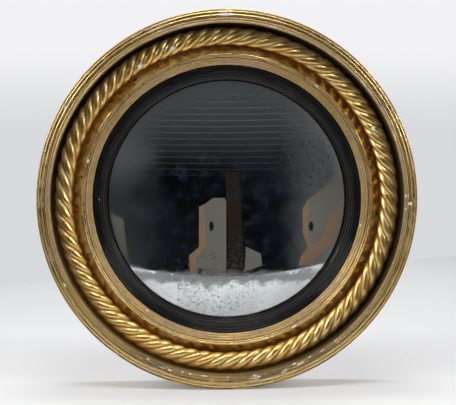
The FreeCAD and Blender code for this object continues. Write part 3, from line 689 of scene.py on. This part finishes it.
def rim_section():
    """Front felloes: a painted side, a bead, the reeds and the upper wall of the hollow."""
    half = RIM_EDGE - RIM_SIDE
    bead_top = CREST - BEAD_DROP
    section = Section(HOLLOW_EDGE, BED_FRONT).line(RIM_SIDE, BED_FRONT, 3)
    section.line(RIM_SIDE, bead_top - 2 * half, 8, reed=PAINTED)
    # Painted shade on the bead: its flanks darker than its top, the outer flank less than the inner.
    for turn in np.radians(np.arange(-75, 181, 15)):
        flank_shade = 0.62 if turn < math.pi / 2 else 1.0
        section.rows.append((RIM_SIDE + half * math.cos(turn), bead_top - half + half * math.sin(turn),
                             max(0.0, math.sin(turn)), flank_shade * math.cos(turn) ** 2, BEAD))
    # Painted shade, with some grime: dark in the quirk inside the bead, and deepening down the wall of the
    # hollow.
    section.line(RIM_SIDE - half, CREST - REED_DROP, grime_and_shade=(1.0, 1.0))
    section.reeds(RIM_REEDS, HOLLOW_EDGE, CREST - REED_DROP)
    section.line(HOLLOW_EDGE, CREST - WALL_DROP, grime_and_shade=(1.0, 1.1))
    return section.line(HOLLOW_EDGE, BED_FRONT, 8, grime_and_shade=(1.3, 1.3))


def bed_section():
    """Bed felloes: a painted side, the hollow with its flat for the rope, and the inner moulding."""
    section = Section(REBATE, BED_BACK).line(BED_SIDE, BED_BACK, 3)
    section.line(RIM_SIDE, BED_FRONT, 8, reed=PAINTED).line(HOLLOW_EDGE, BED_FRONT, 2)
    # Painted shade, with some grime: dark down the side and floor of the hollow under the rope, fading up
    # the cove to the moulding.
    section.bow(ROPE_RING + ROPE_SEAT / 2, HOLLOW_FLOOR, -HOLLOW_COVE, 16, grime_and_shade=(1.3, 1.1))
    section.line(ROPE_RING - ROPE_SEAT / 2, HOLLOW_FLOOR, 2, grime_and_shade=(1.0, 0.6))
    section.bow(MOULDING_EDGE, MOULDING_TOP - MOULDING_DROP, -MOULDING_COVE, 16, grime_and_shade=(0.36, 0.0))
    section.line(MOULDING_EDGE, MOULDING_TOP, 2)
    section.reeds(MOULDING_REEDS, SLIP_EDGE, LIP_TOP)
    return section.line(SLIP_EDGE, LIP_BACK, 3).line(REBATE, LIP_BACK).line(REBATE, BED_BACK, 3)


def slip_section():
    """Slip: its wall round the plate, the step under the lip, the reeds and the bevelled sight edge."""
    wall = PLATE_EDGE + SLIP_PLAY
    outer, step = REBATE - SLIP_PLAY, SLIP_EDGE - SLIP_PLAY
    bevel, sight, back = (SLIP_TOP - drop for drop in SIGHT_DROPS)
    section = Section(wall, SLIP_BACK).line(outer, SLIP_BACK, 3).line(outer, LIP_BACK, 2)
    # Painted shade, with some grime, on the step under the lip and where the sight bevel leaves the last
    # reed.
    section.line(step, LIP_BACK).line(step, SLIP_TOP, 2, grime_and_shade=(0.8, 0.8))
    section.reeds(SLIP_REEDS, SIGHT + SIGHT_BEVEL, bevel)
    section.line(SIGHT, sight, 5, grime_and_shade=(0.3, 0.0)).line(SIGHT, back)
    return section.line(wall, SLIP_WALL).line(wall, SLIP_BACK, 2)


def dress(piece, material, node):
    """Give a piece its material and put it in the place of a CAD node."""
    piece.data.materials.clear()
    piece.data.materials.append(material)
    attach(piece, "mirror")
    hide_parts(node)


def dress_rim():
    """Front felloes, with a crack in the gilding over each joint."""
    gilt = gilding("rim_gilding", 1, (0.94, 0.70, 0.31), (0.80, 0.55, 0.20), -0.06, 0.31,
                   (0.2645, 0.2585), bole=(0.24, 0.165, 0.105), foot=0.75)
    marks = [(-0.6, 265.5, 15.0, 2.6, 0.25, 1.0), (300.0, 267.0, 3.0, 1.6, 0.2, 1.0),
             (243.0, 262.0, 4.0, 1.6, 0.2, 1.0), (91.0, 262.0, 3.0, 4.0, 0.2, 0.9),
             (158.0, 254.6, 4.0, 1.6, 0.2, 1.0), (195.0, 254.6, 3.0, 1.5, 0.2, 1.0),
             (207.0, 254.6, 3.0, 1.5, 0.2, 1.0)]
    marks += scatter(26, (136, 206), (254.5, 261.5), (1.0, 3.6), 4)
    marks += scatter(9, (40, 130), (254.5, 260), (1.0, 2.2), 6)
    for turn, name in enumerate(("top_right", "bottom_right", "bottom_left", "top_left")):
        start, stop = turn * 90, turn * 90 + 90
        start_gap, stop_gap = (math.degrees(RIM_JOINTS[clock % 360] / 2 / RIM_EDGE)
                               for clock in (start, stop))
        piece = turned_piece(f"gilt_rim_{name}", rim_section(), start + start_gap, stop - stop_gap,
                             marks, 0.22, 1, 70.0)
        dress(piece, gilt, f"rim_{name}")


def dress_bed():
    """Bed felloes, with the split in the moulding and a stain in the hollow."""
    gilt = gilding("bed_gilding", 3, (0.92, 0.68, 0.30), (0.78, 0.53, 0.19), -0.05, 0.30,
                   (0.2085, 0.2010), bole=(0.34, 0.215, 0.115))
    marks = [(38.0, 208.5, 3.0, 1.6, 0.2, 1.0), (216.0, 198.0, 3.0, 1.5, 0.2, 1.0),
             (286.0, 208.0, 4.0, 1.6, 0.2, 1.0), (152.0, 208.0, 5.0, 1.6, 0.25, 1.0),
             (101.0, 197.0, 3.0, 1.5, 0.2, 1.0)]
    half = 45 - JOINT
    for turn, name in enumerate(("top", "right", "bottom", "left")):
        piece = turned_piece(f"gilt_bed_{name}", bed_section(), turn * 90 - half, turn * 90 + half,
                             marks, 0.18, 2, 45.0, stains=[(-37.5, 218.5, 5.0, 3.0)],
                             cracks=[(136.2, 0.05)])
        dress(piece, gilt, f"bed_{name}")


def dress_rope():
    """Lengths of the rope twist, end to end round the hollow."""
    gilt = gilding("rope_gilding", 5, (0.95, 0.70, 0.29), (0.90, 0.60, 0.20), -0.2, 0.34, relief=0.12)
    marks = [(326.9, 228.9, 5.6, 4.2, 0.6, 1.0), (340.1, 230.6, 4.6, 3.8, 0.5, 1.0),
             (63.8, 233.8, 5.0, 3.6, 0.6, 1.0), (183.0, 243.0, 2.4, 1.6, 0.3, 1.0),
             (112.0, 225.0, 2.0, 1.6, 0.3, 1.0), (251.0, 240.0, 2.2, 1.6, 0.3, 1.0)]
    reach = 360 / len(ROPE_SLIPS)
    for number, slip in enumerate(ROPE_SLIPS):
        start = ROPE_START + reach * number
        piece = rope_piece(f"carved_rope_{number + 1}", start + JOINT, start + reach - JOINT, marks, slip)
        dress(piece, gilt, f"rope_length_{number + 1}")


def dress_plate():
    """Slip, plate and silvering."""
    slip = turned_piece("reeded_slip", slip_section(), 0, 360, [(270.3, 185.0, 1.3, 1.0, 0.1, 1.0)],
                        0.12, 7, 38.8, cracks=[(129.4, -0.06)])
    dress(slip, ebonising("ebonised_lacquer"), "ebonised_slip")
    glass = dome("domed_plate", DOME_RADIUS, DOME_RADIUS - GLASS_THICKNESS, PLATE_EDGE)
    dress(glass, plate_glass("old_plate_glass"), "convex_glass")
    front = DOME_RADIUS - GLASS_THICKNESS - SILVER_GAP
    silver = dome("aged_silvering", front, front - SILVER_THICKNESS, SILVER_EDGE)
    dress(silver, silvering("aged_amalgam"), "silvering")


def stem(name, centre, sizes, facets, uneven=0.0, seed=0):
    """Nail or screw along Y: sizes are (radius, depth) in millimetres, from the tip of its head."""
    rng = np.random.default_rng(seed)
    turn = np.arange(facets) * 2 * math.pi / facets
    rings = []
    for radius, depth in sizes:
        reach = radius * (1 - uneven * rng.uniform(0, 1, facets))
        rings.append(np.stack((centre[0] + reach * np.cos(turn), np.full(facets, -depth),
                               centre[1] + reach * np.sin(turn)), axis=-1) / 1000)
    return skin(name, np.array(rings), {})


def merged(name, pieces):
    """One object from several."""
    bpy.ops.object.select_all(action="DESELECT")
    for piece in pieces:
        piece.select_set(True)
    bpy.context.view_layer.objects.active = pieces[0]
    bpy.ops.object.join()
    pieces[0].name = name
    return pieces[0]


def dress_nails():
    """Hand-made nails with faceted heads, driven through the boards."""
    nails = []
    for number in range(NAILS):
        clock = math.radians(360 / NAILS * (number + 0.5))
        centre = (NAIL_RING * math.sin(clock), NAIL_RING * math.cos(clock))
        nails.append(stem(f"nail_{number}", centre, NAIL, 7, 0.13, number))
    iron = metal("old_iron", (0.20, 0.18, 0.17), (0.085, 0.045, 0.028), 0.5, 0.85)
    dress(merged("forged_nails", nails), iron, "backboard_nails")


def slotted(piece, centre, turn):
    """Cut a driver's slot across the head of a screw."""
    half = Vector(SLOT) / 1000
    corners = [(x * half.x, y * half.y, z * half.z) for x in (-1, 1) for y in (-1, 1) for z in (-1, 1)]
    faces = [(0, 1, 3, 2), (4, 6, 7, 5), (0, 4, 5, 1), (2, 3, 7, 6), (0, 2, 6, 4), (1, 5, 7, 3)]
    cutter = placed("slot_cutter", mesh_of("slot_cutter", corners, faces))
    cutter.location = (centre[0] / 1000, -SLOT_DEPTH / 1000, centre[1] / 1000)
    cutter.rotation_euler = (0, turn, 0)
    cut = piece.modifiers.new("slot", "BOOLEAN")
    cut.object = cutter
    cut.solver = "EXACT"
    bpy.context.view_layer.update()
    evaluated = piece.evaluated_get(bpy.context.evaluated_depsgraph_get())
    cut_mesh = bpy.data.meshes.new_from_object(evaluated)
    piece.modifiers.clear()
    piece.data = cut_mesh
    bpy.data.objects.remove(cutter)
    return piece


def dress_screws():
    """Round-headed screws with slots, two in each strap."""
    brass = metal("screw_brass", (0.62, 0.44, 0.17), (0.20, 0.12, 0.05), 0.33, 0.6)
    radius, rise = SCREW_HEAD
    sizes = [(radius * math.sin(turn), SCREW_SEAT - rise * math.cos(turn))
             for turn in np.radians((9, 25, 42, 60, 76, 90))]
    sizes += SCREW_SHANK
    for side, name in ((-1, "left"), (1, "right")):
        screws = []
        for row, height in enumerate(SCREW_HEIGHTS):
            centre = (side * SCREW_SIDE, height)
            screw = stem(f"{name}_screw_{row}", centre, sizes, 32)
            screws.append(slotted(screw, centre, 0.5 + 1.9 * row + side))
        dress(merged(f"{name}_slotted_screws", screws), brass, f"{name}_hanger_screws")


def dress_back():
    """Better materials on the CAD nodes that stay: boards, back felloes, blocks and hangers."""
    boards = wood("backboard_pine", (0.27, 0.185, 0.11), (0.135, 0.088, 0.052), "x")
    felloe = wood("back_felloe_pine", (0.42, 0.28, 0.15), (0.25, 0.155, 0.08), "x", 0.8, (0.46, 0.30, 0.11))
    blocks = wood("block_pine", (0.50, 0.34, 0.18), (0.33, 0.21, 0.11), "x", 1.4)
    brass = metal("strap_brass", (0.60, 0.43, 0.18), (0.17, 0.105, 0.05), 0.36, 0.7)
    wire = metal("ring_brass", (0.66, 0.47, 0.19), (0.22, 0.14, 0.06), 0.30, 0.55)
    board = card("packing_board", (0.34, 0.28, 0.20), (0.22, 0.17, 0.12))
    finishes = {"backboard": boards, "back": felloe, "glue": blocks, "packing": board}
    for name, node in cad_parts.items():
        material = finishes.get(name.split("_")[0])
        if "strap" in name:
            material = brass
        elif "hanging_ring" in name:
            material = wire
        if material:
            node.data.materials.clear()
            node.data.materials.append(material)


# Stage

# Lengths in metres; the picture is counted in points, each POINT wide at the mirror
FLOOR = -RIM_EDGE / 1000
PAPER_EDGE = -0.33
FAR_LINE = 1.31
FAR_SLANT = 0.448
WALL_LINE = 3.4
WALL_TOP = 4.0
ROOM_REACH = 2.5
PICTURE = (456, 405)
POINT = 1.4310e-3
DISTANCE = 1.9
SENSOR = 36
LENS = SENSOR * DISTANCE / (PICTURE[0] * POINT)
SLAT_PITCH = 7.4 * POINT / (DOME_RADIUS / 1000)
AZIMUTH = math.radians(-3.0)
ELEVATION = math.radians(4.0)
AIM_DEPTH = 0.071
AIM = (-0.24, -1.53)

# Rays that the room's pieces are left out for
REFLECTED_ONLY = ("camera", "diffuse", "shadow")

# Name, place, aim, width, height and power of each lamp
LAMPS = (
    ("left_softbox", (-1.50, -0.80, 0.90), (0, 0, 0), 0.40, 0.90, 14),
    ("right_softbox", (1.50, -0.80, 0.80), (0, 0, 0), 0.35, 0.80, 10),
    ("top_softbox", (0, -0.95, 1.60), (0, 0, 0), 1.2, 0.35, 12),
    ("overhead_softbox", (0, 0.18, 1.90), (0, 0, -0.2), 1.2, 0.30, 16),
    ("rear_softbox", (0.3, 1.7, 0.7), (0, 0, 0), 1.2, 0.8, 4),
)


def turned_to(thing, way):
    """Turn a camera or a lamp to look along a way."""
    thing.rotation_mode = "QUATERNION"
    thing.rotation_quaternion = way.to_track_quat("-Z", "Y")


def place_camera():
    """Camera a little left of the mirror's axis and above it."""
    level = math.cos(ELEVATION)
    back = Vector((math.sin(AZIMUTH) * level, -math.cos(AZIMUTH) * level, math.sin(ELEVATION)))
    data = bpy.data.cameras.new("camera")
    data.lens = LENS
    data.sensor_width = SENSOR
    camera = placed("camera", data)
    turned_to(camera, -back)
    turn = camera.rotation_quaternion.to_matrix()
    aim = Vector((0, -AIM_DEPTH, 0)) + turn.col[0] * AIM[0] * POINT + turn.col[1] * AIM[1] * POINT
    camera.location = aim + back * DISTANCE
    bpy.context.scene.camera = camera
    return camera


def seen_in_plate(camera, across, down, far):
    """Spot in the room that the plate shows at a point of the picture."""
    turn = camera.rotation_quaternion.to_matrix()
    ray = (turn.col[0] * (across - PICTURE[0] / 2) * POINT - turn.col[1] * (down - PICTURE[1] / 2) * POINT
           - turn.col[2] * DISTANCE).normalized()
    centre = Vector((0, -DOME_CENTRE / 1000, 0))
    away = camera.location - centre
    reach = away.dot(ray)
    inside = reach ** 2 - away.length_squared + (DOME_RADIUS / 1000) ** 2
    hit = camera.location + ray * (-reach - math.sqrt(inside))
    normal = (hit - centre).normalized()
    return hit + (ray - 2 * ray.dot(normal) * normal) * far


def stage_piece(name, corners, faces, material, unseen=()):
    """Thing of the studio, left out for some kinds of ray."""
    mesh = mesh_of(name, [tuple(corner) for corner in corners], faces)
    mesh.materials.append(material)
    piece = placed(name, mesh)
    for kind in unseen:
        setattr(piece, f"visible_{kind}", False)


def glow(name, colour):
    """Plain tone that takes no light."""
    f = Finish(name)
    return f.close(f.tone((*colour, 1.0)))


def seen_directly(f):
    """One for rays that show a thing to the camera or in glass and metal.

    It is nought for the light that the thing gives back.
    """
    return f.either(*(f.add("ShaderNodeLightPath", output)
                      for output in ("Is Camera Ray", "Is Glossy Ray", "Is Transmission Ray")))


def backdrop_material(low, high, start, stop):
    """Tone that rises with height where it is seen, and plain paper for the light that it gives back."""
    f = Finish("backdrop_paper")
    colour = f.mix(f.step(f.axis(f.spot, 2), start, stop), low, high)
    paper = f.add("ShaderNodeBsdfDiffuse", 0, {}, {"Color": colour})
    return f.toned(seen_directly(f), paper, colour)


def floor_material():
    """Pale paper whose shadows are a little softened where it is seen."""
    f = Finish("floor_paper")
    cloud = f.noise(1.2, 3.0)
    grain = f.noise(260.0)
    colour = f.mix(f.step(cloud, 0.3, 0.7), (0.80, 0.805, 0.82), (0.84, 0.845, 0.855))
    paper = f.add("ShaderNodeBsdfPrincipled", 0, {}, {
        "Base Color": colour, "Roughness": f.step(grain, 0.3, 0.7, 0.75, 0.85),
        "Normal": f.bump(grain, 0.0001, 0.3)})
    return f.toned(f.times(seen_directly(f), 0.2), paper, colour)


def room_material():
    """Dim room with pale slats overhead, spaced as the plate's curve would even them out.

    Its outer parts, which the plate doesn't show, are the pale sides of a studio.
    """
    f = Finish("room_dusk")
    way = f.add("ShaderNodeVectorMath", 0, {"operation": "NORMALIZE"}, {0: f.spot})
    side, front, height = (f.axis(way, number) for number in range(3))
    bend = f.math("SQRT", f.times(f.math("SUBTRACT", 1.0, front), 2.0))
    rise = f.math("DIVIDE", height, bend)
    right = f.math("DIVIDE", side, bend)
    tilt = f.math("SQRT", f.plus(f.times(rise, rise), f.times(right, right)))
    cloud = f.noise(1.1)
    dusk = f.mix(f.step(cloud, 0.35, 0.7), (0.0024, 0.0028, 0.0040), (0.0085, 0.0100, 0.0135))
    mottle = f.noise(4.5, 6.0, roughness=0.7)
    dusk = f.mix(f.step(mottle, 0.50, 0.66, 0.0, 0.7), dusk, (0.018, 0.024, 0.037))
    colour = f.mix(f.step(rise, 0.04, 0.30), dusk, (0.060, 0.065, 0.069))
    ragged = f.plus(right, f.centred(f.noise(2.6, 5.0), 0.10))
    colour = f.mix(f.step(ragged, 0.19, 0.31, 0.0, 0.8), colour, (0.115, 0.122, 0.122))
    left = f.times(f.step(ragged, -0.16, -0.35), f.step(rise, -0.03, 0.12, 0.25, 0.9))
    colour = f.mix(left, colour, (0.125, 0.133, 0.133))
    slats = f.math("FRACT", f.math("DIVIDE", rise, SLAT_PITCH))
    line = f.times(f.step(f.math("ABSOLUTE", f.math("SUBTRACT", slats, 0.5)), 0.13, 0.03),
                   f.step(rise, 0.03, 0.09))
    colour = f.mix(f.times(line, f.step(rise, 0.08, 0.28, 0.13, 0.36)), colour, (0.20, 0.205, 0.21))
    pale = f.mix(f.step(rise, -0.2, 0.3), (0.26, 0.25, 0.235), (0.50, 0.485, 0.46))
    colour = f.mix(f.step(tilt, 0.35, 0.47), colour, pale)
    return f.close(f.tone(colour))


def build_room(camera):
    """Dim studio round the camera, seen only in the plate and the gilding."""
    rows, columns = 30, 40
    wide = columns + 1
    tilt = np.radians(np.linspace(-90, 90, rows + 1))
    turn = np.radians(np.linspace(-84, 84, wide))
    corners = [(ROOM_REACH * math.cos(up) * math.sin(out), -ROOM_REACH * math.cos(up) * math.cos(out),
                ROOM_REACH * math.sin(up)) for up in tilt for out in turn]
    faces = [(first, first + 1, first + wide + 1, first + wide)
             for row in range(rows) for first in range(row * wide, row * wide + columns)]
    stage_piece("room_shell", corners, faces, room_material(), REFLECTED_ONLY)
    tan, grey = glow("crate_tan", (0.24, 0.155, 0.095)), glow("crate_grey", (0.155, 0.145, 0.125))
    dark, brown = glow("crate_hole", (0.010, 0.013, 0.024)), glow("post_brown", (0.022, 0.016, 0.013))
    shapes = (
        ("crate_left", tan, 1.9,
         ((199, 207), (213, 200), (226, 200), (226, 272), (230, 280), (190, 280), (189, 256), (199, 247))),
        ("crate_left_face", grey, 1.85,
         ((204, 205), (213, 198), (225, 198), (225, 276), (198, 278), (196, 258), (206, 246))),
        ("crate_left_slot", dark, 1.8,
         ((210, 222), (213, 222), (214, 226), (213, 231), (210, 231), (209, 226))),
        ("crate_low_slot", dark, 1.8,
         ((199, 269), (202, 269), (203, 273), (202, 278), (199, 278), (198, 273))),
        ("crate_right", tan, 1.9,
         ((303, 209), (308, 200), (324, 188), (336, 178), (345, 177), (345, 205), (335, 243), (323, 252),
          (311, 265), (299, 266), (301, 257), (308, 247), (303, 233))),
        ("crate_right_face", grey, 1.85,
         ((309, 203), (324, 190), (336, 180), (345, 179), (345, 204), (330, 216), (322, 240), (312, 246),
          (308, 232))),
        ("crate_right_slot", dark, 1.8,
         ((310, 222), (313, 222), (314, 226), (313, 231), (310, 231), (309, 226))),
        ("crate_far", grey, 1.9, ((110, 213), (123, 220), (128, 261), (120, 250))),
        ("crate_small", grey, 1.9, ((246, 247), (261, 254), (262, 266), (245, 272))),
        ("stand_post", brown, 1.7,
         ((225, 172), (239, 172), (242, 228), (244, 272), (230, 272), (228, 228))),
    )
    for name, material, far, outline in shapes:
        corners = [seen_in_plate(camera, across, down, far) for across, down in outline]
        stage_piece(name, corners, [tuple(range(len(corners)))], material, REFLECTED_ONLY)


def lamp(name, place, aim, width, height, power):
    """Rectangular soft lamp that the camera doesn't see."""
    data = bpy.data.lights.new(name, "AREA")
    data.shape = "RECTANGLE"
    data.size, data.size_y = width, height
    data.energy = power
    light = placed(name, data)
    light.location = place
    turned_to(light, Vector(aim) - Vector(place))
    light.visible_camera = False


def light_world():
    """Even light all round, and a paler tone where it is seen."""
    world = bpy.data.worlds.new("studio")
    bpy.context.scene.world = world
    f = Finish(world)
    tone = f.mix(seen_directly(f), (0.27, 0.27, 0.275), (0.72, 0.73, 0.745))
    f.close(f.add("ShaderNodeBackground", 0, {}, {"Color": tone}), "ShaderNodeOutputWorld")


def build_stage(camera):
    """Paper under and behind the mirror, the room in front of it, and the light."""
    far, near = 9.0, 2.0
    rear = [(x, FAR_LINE + FAR_SLANT * max(-near, min(near, x)), FLOOR) for x in (-far, -near, near, far)]
    front = [(x, PAPER_EDGE, FLOOR) for x in (-far, far)]
    nearest = [(-far, -far, FLOOR), (far, -far, FLOOR)]
    wall = [(x, WALL_LINE, height) for height in (FLOOR, WALL_TOP) for x in (far, -far)]
    paper = floor_material()
    stage_piece("floor", front + rear[::-1], [tuple(range(6))], paper)
    stage_piece("floor_before", nearest + front[::-1], [(0, 1, 2, 3)], paper, ("glossy", "transmission"))
    beyond = backdrop_material((0.690, 0.697, 0.716), (0.888, 0.888, 0.905), 0.02, 0.40)
    stage_piece("backdrop", rear + wall, [tuple(range(6)), (5, 4, 6, 7)], beyond)
    build_room(camera)
    for settings in LAMPS:
        lamp(*settings)
    light_world()


dress_rim()
dress_bed()
dress_rope()
dress_plate()
dress_nails()
dress_screws()
dress_back()
build_stage(place_camera())
bpy.context.scene.view_settings.view_transform = "Standard"
